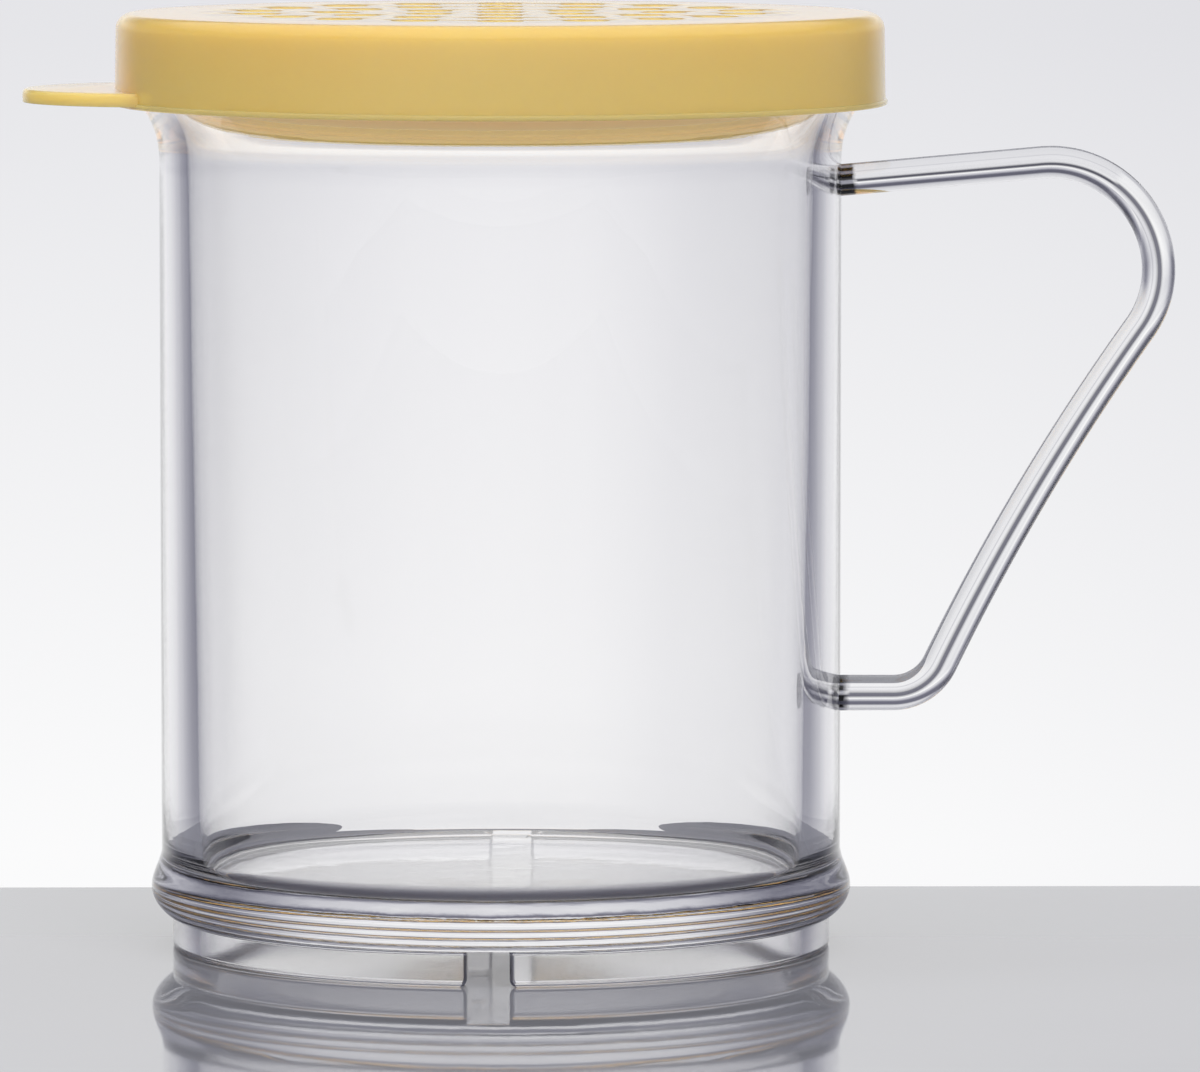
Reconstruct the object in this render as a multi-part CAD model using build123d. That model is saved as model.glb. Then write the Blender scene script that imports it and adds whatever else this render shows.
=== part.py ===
from build123d import *
from math import cos, radians, sin, sqrt, tan
import os

# Spice shaker: a clear cup, a bent rod handle welded to it, and a perforated lid that snaps over the rim.
# Millimetres. The origin is on the cup's axis at the level it stands on, +Z is up,
# the handle points along +X and the lid's lift tab along -X.

# Cup, outside
CUP_HEIGHT = 96.9
WALL_R = 35.9
FLARE_DROP = 13.6
FLARE_R = 9.2
RIM_OUT = 2.95
RIM_SHOULDER_R = 1.0
RIM_EDGE_R = 0.6
FLARE_Z = CUP_HEIGHT - FLARE_DROP
RIM_R = WALL_R + RIM_OUT

# Cup, inside
WALL_THICKNESS = 3.0
CAVITY_DRAFT = 1.0
RIM_WALL = 2.5
MOUTH_SHOULDER_R = 2.0
INNER_FLARE_RISE = 0.8
FLOOR_Z = 7.85
FLOOR_THICKNESS = 4.1
FLOOR_CORNER_R = 0.55
CAVITY_TOP_R = WALL_R - WALL_THICKNESS
CAVITY_FLOOR_R = CAVITY_TOP_R - CAVITY_DRAFT
MOUTH_R = RIM_R - RIM_WALL
INNER_FLARE_Z = FLARE_Z + INNER_FLARE_RISE

# Stacking flange and foot ring
FLANGE_OUT = 1.1
FLANGE_Z = 6.4
FLANGE_TOP_Z = 10.6
FLANGE_UNDER_SLOPE = 25.5
FOOT_IN = 1.15
FOOT_HEIGHT = 3.3
FOOT_WALL = 3.1
FOOT_EDGE_R = 0.5
UNDERSIDE_CORNER_R = 0.8
FLANGE_R = WALL_R + FLANGE_OUT
FOOT_R = WALL_R - FOOT_IN

# Drain notches across the foot ring
NOTCH_WIDTH = 4.4
NOTCH_LIP_R = 0.85
NOTCH_TURN = -2.2

# Handle, along the axis of the rod
ROD_TOP_R = 1.68
ROD_LOW_R = 1.9
ROOT_SEAT = 0.8
HANDLE_TOP_DROP = 15.95
HANDLE_LOW_Z = 26.65
HANDLE_OUT = 33.5
TOP_RISE = 4.95
KNUCKLE_R = 11.45
PALM_R = 10.35
GRIP_LEAN_TOP = 35.35
GRIP_LEAN_LOW = 25.8
LOW_BEND_R = 5.5
HANDLE_TOP_Z = CUP_HEIGHT - HANDLE_TOP_DROP
HANDLE_REACH = WALL_R + HANDLE_OUT

# Lid
LID_TOP_THICKNESS = 1.7
LID_EDGE_R = 1.65
SKIRT_LENGTH = 7.9
SKIRT_CLEARANCE = 0.45
SKIRT_WALL = 1.25
SKIRT_DRAFT = 0.15
SKIRT_ROOT_R = 0.4
LIP_OUT = 0.2
LIP_HEIGHT = 0.6
LIP_EDGE_R = 0.18
BEAD_CLEARANCE = 0.2
BEAD_HEIGHT = 1.0
BEAD_LAND = 0.3
BEAD_LEAD = 0.35
LEAD_IN_OUT = 0.2
LOCATING_RING_CLEARANCE = 0.3
LOCATING_RING_WALL = 1.2
LOCATING_RING_DEPTH = 4.2
LOCATING_RING_DRAFT = 0.2
LID_SKIRT_R = RIM_R + SKIRT_CLEARANCE + SKIRT_WALL
LID_TOP_R = LID_SKIRT_R - SKIRT_DRAFT

# Holes in the lid: one in the middle and rings of them round it
HOLE_R = 2.3
RING_PITCH = 8.6
RING_COUNT = 3
HOLES_PER_RING_STEP = 6

# Lift tab
TAB_REACH = 9.7
TAB_R = 15.5
TAB_THICKNESS = 1.4
TAB_UNDERCUT = 0.3
TAB_EDGE_R = 0.5
TAB_TIP_X = -(LID_SKIRT_R + TAB_REACH)

# How far a cutting shape reaches past what it cuts
OVERCUT = 1.0


def lathe(outline):
    """Turn a closed face drawn as radius and height round the vertical axis."""
    return revolve(Plane.XZ * outline, Axis.Z)


def round_corner(face, radius, height, fillet_radius):
    """Fillet the corner of a flat face that lies nearest to a radius and height."""
    corner = min(face.vertices(), key=lambda v: (v.X - radius) ** 2 + (v.Y - height) ** 2)
    return fillet(corner, fillet_radius)


def flare_height(centre_r, arc_r, r):
    """Height above the start of a flare where its arc, upright at the start, reaches radius r."""
    return sqrt(arc_r**2 - (centre_r - r) ** 2)


def rim_shoulder_z():
    """Height at which the flare's outside reaches the rim's radius."""
    return FLARE_Z + flare_height(WALL_R + FLARE_R, FLARE_R, RIM_R)


def outer_edges():
    """Outside of the cup from the foot's outer corner to the rim's outer corner."""
    shoulder_z = rim_shoulder_z()
    slope = radians(FLANGE_UNDER_SLOPE)
    under_flange = Spline(
        (FOOT_R, FOOT_HEIGHT),
        (FLANGE_R, FLANGE_Z),
        tangents=[(cos(slope), sin(slope)), (0, 1)],
    )
    over_flange = Spline(
        (FLANGE_R, FLANGE_Z),
        (WALL_R, FLANGE_TOP_Z),
        tangents=[(0, 1), (0, 1)],
    )
    return [
        Line((FOOT_R, 0), (FOOT_R, FOOT_HEIGHT)),
        under_flange,
        over_flange,
        Line((WALL_R, FLANGE_TOP_Z), (WALL_R, FLARE_Z)),
        TangentArc((WALL_R, FLARE_Z), (RIM_R, shoulder_z), tangent=(0, 1)),
        Line((RIM_R, shoulder_z), (RIM_R, CUP_HEIGHT)),
    ]


def cup_body():
    """Cup with its flange and foot ring, before the notches and the handle's seats."""
    inner_flare_r = FLARE_R + WALL_THICKNESS
    mouth_z = INNER_FLARE_Z + flare_height(WALL_R + FLARE_R, inner_flare_r, MOUTH_R)
    underside_z = FLOOR_Z - FLOOR_THICKNESS
    foot_inner_r = FOOT_R - FOOT_WALL
    inner_edges = [
        Line((RIM_R, CUP_HEIGHT), (MOUTH_R, CUP_HEIGHT)),
        Line((MOUTH_R, CUP_HEIGHT), (MOUTH_R, mouth_z)),
        TangentArc((CAVITY_TOP_R, INNER_FLARE_Z), (MOUTH_R, mouth_z), tangent=(0, 1)),
        Polyline(
            (CAVITY_TOP_R, INNER_FLARE_Z),
            (CAVITY_FLOOR_R, FLOOR_Z),
            (0, FLOOR_Z),
            (0, underside_z),
            (foot_inner_r, underside_z),
            (foot_inner_r, 0),
            (FOOT_R, 0),
        ),
    ]
    face = make_face(outer_edges() + inner_edges)
    face = round_corner(face, RIM_R, rim_shoulder_z(), RIM_SHOULDER_R)
    face = round_corner(face, RIM_R, CUP_HEIGHT, RIM_EDGE_R)
    face = round_corner(face, MOUTH_R, CUP_HEIGHT, RIM_EDGE_R)
    face = round_corner(face, MOUTH_R, mouth_z, MOUTH_SHOULDER_R)
    face = round_corner(face, CAVITY_FLOOR_R, FLOOR_Z, FLOOR_CORNER_R)
    face = round_corner(face, foot_inner_r, underside_z, UNDERSIDE_CORNER_R)
    face = round_corner(face, foot_inner_r, 0, FOOT_EDGE_R)
    face = round_corner(face, FOOT_R, 0, FOOT_EDGE_R)
    return lathe(face)


def drain_notches():
    """A bar across the foot ring whose ends open a notch at the front and at the back."""
    half = NOTCH_WIDTH / 2
    top = FLOOR_Z - FLOOR_THICKNESS
    mouth = half + NOTCH_LIP_R
    outline = [
        Line((-half, NOTCH_LIP_R), (-half, top)),
        Line((-half, top), (half, top)),
        Line((half, top), (half, NOTCH_LIP_R)),
        RadiusArc((half, NOTCH_LIP_R), (mouth, 0), -NOTCH_LIP_R),
        Line((mouth, 0), (-mouth, 0)),
        RadiusArc((-mouth, 0), (-half, NOTCH_LIP_R), -NOTCH_LIP_R),
    ]
    bar = extrude(Plane.XZ * make_face(outline), FLANGE_R, both=True)
    return Rot(0, 0, NOTCH_TURN) * bar


def handle_path():
    """Axis of the rod from its upper seat, round the knuckles, down the grip and back to the lower seat."""
    rise = radians(TOP_RISE)
    lean_top = radians(GRIP_LEAN_TOP)
    lean_low = radians(GRIP_LEAN_LOW)
    knuckle_x = HANDLE_REACH - KNUCKLE_R * (1 + sin(rise))
    knuckle_z = HANDLE_TOP_Z + (knuckle_x - WALL_R) * tan(rise)
    seat_x = WALL_R - ROOT_SEAT
    seat_z = HANDLE_TOP_Z - ROOT_SEAT * tan(rise)
    # The grip's drop is what the bends leave between the two runs.
    bends_drop = KNUCKLE_R * cos(rise) + PALM_R * sin(lean_top) + LOW_BEND_R * (1 - sin(lean_low))
    grip_drop = knuckle_z - HANDLE_LOW_Z - bends_drop
    mean_lean = (lean_top + lean_low) / 2
    bow_r = grip_drop / cos(mean_lean) / (2 * sin((lean_top - lean_low) / 2))

    top_run = Line((seat_x, seat_z), (knuckle_x, knuckle_z))
    knuckle = JernArc(top_run @ 1, top_run % 1, KNUCKLE_R, -(90 + TOP_RISE))
    palm = JernArc(knuckle @ 1, knuckle % 1, PALM_R, -GRIP_LEAN_TOP)
    grip = JernArc(palm @ 1, palm % 1, bow_r, GRIP_LEAN_TOP - GRIP_LEAN_LOW)
    low_bend = JernArc(grip @ 1, grip % 1, LOW_BEND_R, -(90 - GRIP_LEAN_LOW))
    low_run = Line(low_bend @ 1, (seat_x, HANDLE_LOW_Z))
    return Plane.XZ * (top_run + knuckle + palm + grip + low_bend + low_run)


def handle_rod():
    """Round rod that thickens evenly from its upper end to its lower end."""
    path = handle_path()
    upper_end = Plane(path @ 0, z_dir=path % 0) * Circle(ROD_TOP_R)
    lower_end = Plane(path @ 1, z_dir=path % 1) * Circle(ROD_LOW_R)
    return sweep([upper_end, lower_end], path=path, multisection=True)


def lid_shell():
    """Top, skirt with its lip and snap bead, and locating ring, turned as one outline."""
    top_z = CUP_HEIGHT + LID_TOP_THICKNESS
    skirt_z = CUP_HEIGHT - SKIRT_LENGTH
    lip_r = LID_SKIRT_R + LIP_OUT
    skirt_inner_r = RIM_R + SKIRT_CLEARANCE
    bead_r = RIM_R + BEAD_CLEARANCE
    bead_z = skirt_z + BEAD_HEIGHT
    ring_r = MOUTH_R - LOCATING_RING_CLEARANCE
    ring_z = CUP_HEIGHT - LOCATING_RING_DEPTH
    outline = Polyline(
        (0, top_z),
        (LID_TOP_R, top_z),
        (LID_SKIRT_R, skirt_z + LIP_HEIGHT),
        (lip_r, skirt_z + LIP_HEIGHT),
        (lip_r, skirt_z),
        (skirt_inner_r + LEAD_IN_OUT, skirt_z),
        (bead_r, bead_z - BEAD_LEAD),
        (bead_r, bead_z - BEAD_LEAD + BEAD_LAND),
        (skirt_inner_r, bead_z + BEAD_LAND),
        (skirt_inner_r, CUP_HEIGHT),
        (ring_r, CUP_HEIGHT),
        (ring_r - LOCATING_RING_DRAFT, ring_z),
        (ring_r - LOCATING_RING_WALL + LOCATING_RING_DRAFT, ring_z),
        (ring_r - LOCATING_RING_WALL, CUP_HEIGHT),
        (0, CUP_HEIGHT),
        close=True,
    )
    face = make_face(outline)
    face = round_corner(face, LID_TOP_R, top_z, LID_EDGE_R)
    face = round_corner(face, lip_r, skirt_z + LIP_HEIGHT, LIP_EDGE_R)
    face = round_corner(face, lip_r, skirt_z, LIP_EDGE_R)
    face = round_corner(face, skirt_inner_r, CUP_HEIGHT, SKIRT_ROOT_R)
    return lathe(face)


def lid_holes():
    """Straight holes through the top, one in the middle and rings with evenly spaced holes round it."""
    middle_of_top = CUP_HEIGHT + LID_TOP_THICKNESS / 2
    punch = Pos(0, 0, middle_of_top) * Cylinder(HOLE_R, LID_TOP_THICKNESS + 2 * OVERCUT)
    punches = [punch]
    for ring in range(1, RING_COUNT + 1):
        punches += PolarLocations(ring * RING_PITCH, ring * HOLES_PER_RING_STEP, start_angle=-90) * punch
    return punches


def lift_tab():
    """Flat tongue with a round end, grown from the skirt just above its lower edge."""
    middle_z = CUP_HEIGHT - SKIRT_LENGTH + TAB_UNDERCUT + TAB_THICKNESS / 2
    tongue = Pos(TAB_TIP_X + TAB_R, 0, middle_z) * Cylinder(TAB_R, TAB_THICKNESS)
    tongue = fillet(tongue.edges().sort_by(Axis.Z)[-1], TAB_EDGE_R)
    middle_of_skirt = (LID_SKIRT_R + RIM_R + SKIRT_CLEARANCE) / 2
    inside_skirt = Cylinder(middle_of_skirt, TAB_THICKNESS + 2 * OVERCUT)
    return tongue - Pos(0, 0, middle_z) * inside_skirt


def build():
    """The shaker's three pieces, by name."""
    rod = handle_rod()
    cup = cup_body() - drain_notches() - rod
    lid = lid_shell() + lift_tab() - lid_holes()
    return {"cup": cup, "handle": rod, "lid": lid}


os.makedirs("parts", exist_ok=True)
for name, piece in build().items():
    piece.label = name
    export_step(piece, f"parts/{name}.step")
    print(name, "volume", round(piece.volume, 1), "box", piece.bounding_box())
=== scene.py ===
# %% [markdown]
# # Spice shaker
# A clear cup with a bent rod handle and a yellow lid that snaps over the rim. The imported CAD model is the
# frame: it says where each piece is and how the lid moves. This lesson gives the pieces their fine surfaces
# and finishes.

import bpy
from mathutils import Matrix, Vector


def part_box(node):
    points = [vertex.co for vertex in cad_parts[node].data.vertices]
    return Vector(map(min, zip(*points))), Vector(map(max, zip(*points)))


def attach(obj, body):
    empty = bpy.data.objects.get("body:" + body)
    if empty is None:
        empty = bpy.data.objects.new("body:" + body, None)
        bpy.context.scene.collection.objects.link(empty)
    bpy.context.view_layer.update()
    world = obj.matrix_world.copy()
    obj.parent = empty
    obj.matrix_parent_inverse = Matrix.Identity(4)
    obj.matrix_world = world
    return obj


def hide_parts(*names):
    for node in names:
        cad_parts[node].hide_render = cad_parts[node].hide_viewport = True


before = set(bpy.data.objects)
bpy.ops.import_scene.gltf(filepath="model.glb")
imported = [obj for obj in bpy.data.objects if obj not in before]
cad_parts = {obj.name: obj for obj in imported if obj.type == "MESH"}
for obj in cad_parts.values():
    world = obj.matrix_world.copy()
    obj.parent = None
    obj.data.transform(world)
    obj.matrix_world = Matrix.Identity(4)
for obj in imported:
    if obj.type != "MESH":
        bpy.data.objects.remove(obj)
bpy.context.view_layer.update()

# %% [markdown]
# Clear plastic shows every unevenness of its surface, because light bends at it four times before it leaves
# the cup. The CAD model's facets would show as stripes, and smoothing them with a modifier would round the
# edges that should stay crisp. So each piece is worked out again as a smooth surface, on a grid as fine as
# the picture needs. Its outline is a chain of arcs, rounded corners, lines and cubics, in millimetres.

# %% Stretches of an outline
from math import atan2, cos, degrees, pi, radians, sin, sqrt, tan

import bmesh
import bpy
import numpy as np
from mathutils import Vector
from mathutils.geometry import delaunay_2d_cdt

SAME_POINT = 1e-6


def arc(centre, radius, start, stop, count):
    """Points on a circle: the centre plus the radius times the cosine and sine of evenly spaced angles, which
    are given in degrees."""
    angle = np.radians(np.linspace(start, stop, count))
    return np.stack([centre[0] + radius * np.cos(angle), centre[1] + radius * np.sin(angle)], axis=1)


def rounded_corner(before, corner, after, radius, count=7):
    """The arc that replaces a corner: it touches both sides, so its centre is on the line that halves the
    angle, and its points are the two touching directions blended by the sines of their shares of the turn."""
    before, corner, after = (np.array(p, float) for p in (before, corner, after))
    to_before = (before - corner) / np.linalg.norm(before - corner)
    to_after = (after - corner) / np.linalg.norm(after - corner)
    half = np.arccos(np.clip(to_before @ to_after, -1, 1)) / 2
    middle = (to_before + to_after) / np.linalg.norm(to_before + to_after)
    centre = corner + middle * radius / np.sin(half)
    first = corner + to_before * radius / np.tan(half) - centre
    last = corner + to_after * radius / np.tan(half) - centre
    share = np.linspace(0, 1, count)[:, None]
    turn = np.pi - 2 * half
    spread = (np.sin((1 - share) * turn) * first + np.sin(share * turn) * last) / np.sin(turn)
    return centre + spread


def line(start, stop, count=2):
    """Evenly spaced points from start to stop, both included."""
    share = np.linspace(0, 1, count)[:, None]
    return np.array(start, float) * (1 - share) + np.array(stop, float) * share


def curve(start, start_slope, stop, stop_slope, count):
    """A cubic that leaves start along one direction and reaches stop along another, each as strong as the
    chord between them."""
    start, stop = np.array(start, float), np.array(stop, float)
    chord = np.linalg.norm(stop - start)
    a = np.array(start_slope, float) / np.linalg.norm(start_slope) * chord
    b = np.array(stop_slope, float) / np.linalg.norm(stop_slope) * chord
    t = np.linspace(0, 1, count)[:, None]
    return (
        (2 * t**3 - 3 * t**2 + 1) * start
        + (t**3 - 2 * t**2 + t) * a
        + (3 * t**2 - 2 * t**3) * stop
        + (t**3 - t**2) * b
    )


def joined(*stretches):
    """One outline from several stretches, without the points that repeat where they meet."""
    points = np.concatenate([np.atleast_2d(np.array(s, float)) for s in stretches])
    keep = np.linalg.norm(np.diff(points, axis=0), axis=1) > SAME_POINT
    return points[np.concatenate([[True], keep])]


print("a rounded corner has", len(rounded_corner((1, 0), (0, 0), (0, 1), 0.5)), "points")

# %% [markdown]
# The cup is a turned shape with thick walls: a drafted cavity, a mouth that flares out under the lid, a
# stacking flange low down and a foot ring. One outline carried round the axis makes all of it, which keeps
# the wall perfectly even. Its heights and radii repeat the CAD part's, and the largest are read from the
# frame.

# %% Cup sizes
MM = 0.001
_, cup_high = (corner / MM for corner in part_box("cup"))
RIM_R = cup_high.y
CUP_HEIGHT = cup_high.z
WALL_R = 35.9
WALL_THICKNESS = 3.0
CAVITY_DRAFT = 1.0
CAVITY_TOP_R = WALL_R - WALL_THICKNESS
CAVITY_FLOOR_R = CAVITY_TOP_R - CAVITY_DRAFT
FLARE_HEIGHT = 13.6
FLARE_Z = CUP_HEIGHT - FLARE_HEIGHT
INNER_FLARE_RISE = 0.8
INNER_FLARE_Z = FLARE_Z + INNER_FLARE_RISE
FLARE_R = 9.2
EASED_TURN = 15
EASED_RUN = 0.2
RIM_WIDTH = 2.5
MOUTH_R = RIM_R - RIM_WIDTH
RIM_SHOULDER_R = 1.0
RIM_EDGE_R = 0.6
MOUTH_SHOULDER_R = 2.0
FLOOR_Z = 7.85
UNDERSIDE_Z = 3.75
FLOOR_CORNER_R = 0.55
UNDERSIDE_CORNER_R = 0.8
FLANGE_R = 37.0
FLANGE_Z = 6.4
FLANGE_TOP_Z = 10.6
FLANGE_UNDER_SLOPE = radians(25.5)
FOOT_R = 34.75
FOOT_HEIGHT = 3.3
FOOT_WALL = 3.1
FOOT_INNER_R = FOOT_R - FOOT_WALL
FOOT_EDGE_R = 0.5
print("cup", round(CUP_HEIGHT, 2), "mm high, rim radius", round(RIM_R, 2), "mouth radius", round(MOUTH_R, 2))

# %% [markdown]
# The flare under the rim is one arc that turns outwards and a smaller one that turns back to upright. Where
# an arc starts abruptly from a straight wall, its reflections break, so the first degrees of the turn are
# eased in by a cubic. The inner and the outer flare come from the same function.

# %% Cup outline
FLARE_POINTS = 24
EASED_POINTS = 14
FLANGE_POINTS = 36
WALL_POINTS = 12
FLAT_POINTS = 8
FLOOR_CORNER_POINTS = 9


def flare(arc_r, start_z, wall_r, shoulder_r, count):
    """A cubic that eases the upright wall into an arc outwards, that arc, and a smaller arc back to upright:
    the second circle touches the first one and the upright line, so its centre is the two radii away from
    the first centre."""
    centre = np.array([WALL_R + FLARE_R, start_z])
    shoulder_x = wall_r - shoulder_r
    shoulder_z = start_z + sqrt((arc_r + shoulder_r) ** 2 - (centre[0] - shoulder_x) ** 2)
    turn = degrees(atan2(shoulder_z - start_z, centre[0] - shoulder_x))
    full_arc = arc(centre, arc_r, 180 - EASED_TURN, 180 - turn, count)
    upright = (centre[0] - arc_r, start_z - EASED_RUN * arc_r)
    turned = (sin(radians(EASED_TURN)), cos(radians(EASED_TURN)))
    eased = curve(upright, (0, 1), full_arc[0], turned, EASED_POINTS)
    return joined(eased, full_arc, arc((shoulder_x, shoulder_z), shoulder_r, -turn, 0, count // 2))


def cup_outline():
    """The closed outline of the cup's wall, as radius and height, from the underside's middle outwards, up
    the wall, over the rim and back down the cavity to the floor's middle."""
    under = (cos(FLANGE_UNDER_SLOPE), sin(FLANGE_UNDER_SLOPE))
    up = (0, 1)
    outer_flare = flare(FLARE_R, FLARE_Z, RIM_R, RIM_SHOULDER_R, FLARE_POINTS)
    inner_flare = flare(FLARE_R + WALL_THICKNESS, INNER_FLARE_Z, MOUTH_R, MOUTH_SHOULDER_R, FLARE_POINTS)
    floor, underside = (0, FLOOR_Z), (0, UNDERSIDE_Z)
    recess_top, recess_low = (FOOT_INNER_R, UNDERSIDE_Z), (FOOT_INNER_R, 0)
    foot_low, foot_top = (FOOT_R, 0), (FOOT_R, FOOT_HEIGHT)
    flange, flange_top = (FLANGE_R, FLANGE_Z), (WALL_R, FLANGE_TOP_Z)
    rim, mouth = (RIM_R, CUP_HEIGHT), (MOUTH_R, CUP_HEIGHT)
    cavity_top, floor_corner = (CAVITY_TOP_R, INNER_FLARE_Z), (CAVITY_FLOOR_R, FLOOR_Z)
    above_floor = (CAVITY_FLOOR_R, FLOOR_Z + FLOOR_CORNER_R)
    beside_corner = (CAVITY_FLOOR_R - 1.5 * FLOOR_CORNER_R, FLOOR_Z)
    return joined(
        line(underside, (FOOT_INNER_R - UNDERSIDE_CORNER_R, UNDERSIDE_Z), FLAT_POINTS),
        rounded_corner(underside, recess_top, recess_low, UNDERSIDE_CORNER_R),
        rounded_corner(recess_top, recess_low, foot_low, FOOT_EDGE_R),
        rounded_corner(recess_low, foot_low, foot_top, FOOT_EDGE_R),
        curve(foot_top, under, flange, up, FLANGE_POINTS),
        curve(flange, up, flange_top, up, FLANGE_POINTS),
        line(flange_top, outer_flare[0], WALL_POINTS),
        outer_flare,
        rounded_corner(outer_flare[-1], rim, mouth, RIM_EDGE_R),
        rounded_corner(rim, mouth, inner_flare[-1], RIM_EDGE_R),
        inner_flare[::-1],
        line(inner_flare[0], above_floor, WALL_POINTS)[:-1],
        rounded_corner(cavity_top, floor_corner, floor, FLOOR_CORNER_R, FLOOR_CORNER_POINTS),
        line(beside_corner, floor, FLAT_POINTS),
    )


outline = cup_outline()
print("cup outline", len(outline), "points, widest", round(outline[:, 0].max(), 3), "mm")

# %% [markdown]
# A grid of points becomes a mesh in one go: quads join neighbouring rows, and the last column meets the
# first, so the surface is closed. The points where an outline meets the axis fall together and are merged.
# Sharp edges, such as a notch's, keep their shading apart, and everything else is shaded smooth.

# %% From outline to mesh
SMOOTH_BELOW = radians(28)
MERGE_WITHIN = 1e-7


def grid_quads(rows, columns):
    """Quads between neighbouring rows of a grid whose last column meets its first one."""
    row = np.arange(rows - 1)[:, None]
    column = np.arange(columns)[None, :]
    after = (column + 1) % columns
    low, high = row * columns, (row + 1) * columns
    return np.stack([low + column, low + after, high + after, high + column], axis=-1).reshape(-1, 4)


def lathe(outline, columns):
    """Each outline point, a radius and a height, goes round the vertical axis: x and y are the radius times
    the cosine and the sine of the angle."""
    angle = np.linspace(0, 2 * pi, columns, endpoint=False)
    radius, height = outline[:, :1], outline[:, 1:]
    x = radius * np.cos(angle)
    y = radius * np.sin(angle)
    z = np.broadcast_to(height, x.shape)
    return np.stack([x, y, z], axis=-1).reshape(-1, 3), grid_quads(len(outline), columns)


def shade(mesh):
    """Smooth shading that stops at sharp edges."""
    mesh.shade_smooth()
    mesh.set_sharp_from_angle(angle=SMOOTH_BELOW)


def mesh_piece(name, parts):
    """One smooth mesh, in metres, from (points in millimetres, faces) parts, with double points merged."""
    mesh = bpy.data.meshes.new(name)
    points, faces, count = [], [], 0
    for part_points, part_faces in parts:
        points.append(part_points)
        faces += [tuple(int(i) + count for i in face) for face in part_faces]
        count += len(part_points)
    mesh.from_pydata((np.concatenate(points) * MM).tolist(), [], faces)
    bm = bmesh.new()
    bm.from_mesh(mesh)
    bmesh.ops.remove_doubles(bm, verts=bm.verts, dist=MERGE_WITHIN)
    bmesh.ops.dissolve_degenerate(bm, edges=bm.edges, dist=MERGE_WITHIN)
    bmesh.ops.recalc_face_normals(bm, faces=bm.faces)
    bm.to_mesh(mesh)
    bm.free()
    shade(mesh)
    piece = bpy.data.objects.new(name, mesh)
    bpy.context.scene.collection.objects.link(piece)
    print(name, len(mesh.vertices), "points", len(mesh.polygons), "faces")
    return piece


def cut(piece, tool, operation="DIFFERENCE"):
    """Cut the tool out of the piece, or join it on, and drop the tool."""
    change = piece.modifiers.new("cut", "BOOLEAN")
    change.operation = operation
    change.solver = "EXACT"
    change.object = tool
    depsgraph = bpy.context.evaluated_depsgraph_get()
    mesh = bpy.data.meshes.new_from_object(piece.evaluated_get(depsgraph))
    piece.modifiers.clear()
    old = piece.data
    piece.data = mesh
    mesh.name = piece.name
    bpy.data.meshes.remove(old)
    bpy.data.objects.remove(tool)
    shade(mesh)
    print(piece.name, "after", operation.lower(), len(mesh.polygons), "faces")
    return piece


# %% [markdown]
# Two drain notches cross the foot ring, at the front and at the back, so that washing water runs out of the
# recess. They could be left out of the grid, but a cut is simpler: one bar, as wide as a notch and with its
# lower edges flared, is taken out of the turned cup.

# %% Cup with its notches
CUP_COLUMNS = 384
NOTCH_WIDTH = 4.4
NOTCH_LIP_R = 0.85
NOTCH_LIP_POINTS = 8
NOTCH_TURN = radians(-2.2)
BELOW_FOOT = -1.0


def notch_bar():
    """The notch's section, carried straight from front to back and turned a little about the vertical."""
    half = NOTCH_WIDTH / 2
    lip = arc((half + NOTCH_LIP_R, NOTCH_LIP_R), NOTCH_LIP_R, 180, 270, NOTCH_LIP_POINTS)
    right = joined([(half, UNDERSIDE_Z)], lip, [(half + NOTCH_LIP_R, BELOW_FOOT)])
    section = np.concatenate([right, right[::-1] * [-1, 1]])
    count = len(section)
    ends = []
    for depth in (-FLANGE_R, FLANGE_R):
        x = section[:, 0] * cos(NOTCH_TURN) - depth * sin(NOTCH_TURN)
        y = section[:, 0] * sin(NOTCH_TURN) + depth * cos(NOTCH_TURN)
        ends.append(np.stack([x, y, section[:, 1]], axis=1))
    sides = [list(quad) for quad in grid_quads(2, count)]
    return np.concatenate(ends), sides + [list(range(count)), list(range(2 * count - 1, count - 1, -1))]


cup = mesh_piece("cup_clear", [lathe(outline, CUP_COLUMNS)])
cup = cut(cup, mesh_piece("notch_tool", [notch_bar()]))
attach(cup, "cup_body")
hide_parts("cup")

# %% [markdown]
# The handle is a rod bent in one plane, with both ends welded into the wall. A curve object with a bevel
# could draw it, but its bends would only be near to arcs. Here the axis is a chain of straight runs and true
# arcs that meet smoothly, described by a heading that changes evenly along each arc.

# %% Handle axis
ROD_TOP_R = 1.68
ROD_LOW_R = 1.9
ROOT_SEAT = 0.8
HANDLE_TOP_Z = 80.95
HANDLE_LOW_Z = 26.65
HANDLE_REACH = 69.4
TOP_RISE = radians(4.95)
KNUCKLE_R = 11.45
PALM_R = 10.35
GRIP_LEAN_TOP = radians(35.35)
GRIP_LEAN_LOW = radians(25.8)
LOW_BEND_R = 5.5
ROD_STEP = 0.35


def bow_radius(knuckle_z):
    """The radius of the slightly bowed grip: its chord has to cover the drop that the bends leave over."""
    low_bend_drop = LOW_BEND_R * (1 - sin(GRIP_LEAN_LOW))
    bends_drop = KNUCKLE_R * cos(TOP_RISE) + PALM_R * sin(GRIP_LEAN_TOP) + low_bend_drop
    drop = knuckle_z - HANDLE_LOW_Z - bends_drop
    mean_lean = (GRIP_LEAN_TOP + GRIP_LEAN_LOW) / 2
    return drop / cos(mean_lean) / (2 * sin((GRIP_LEAN_TOP - GRIP_LEAN_LOW) / 2))


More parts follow.
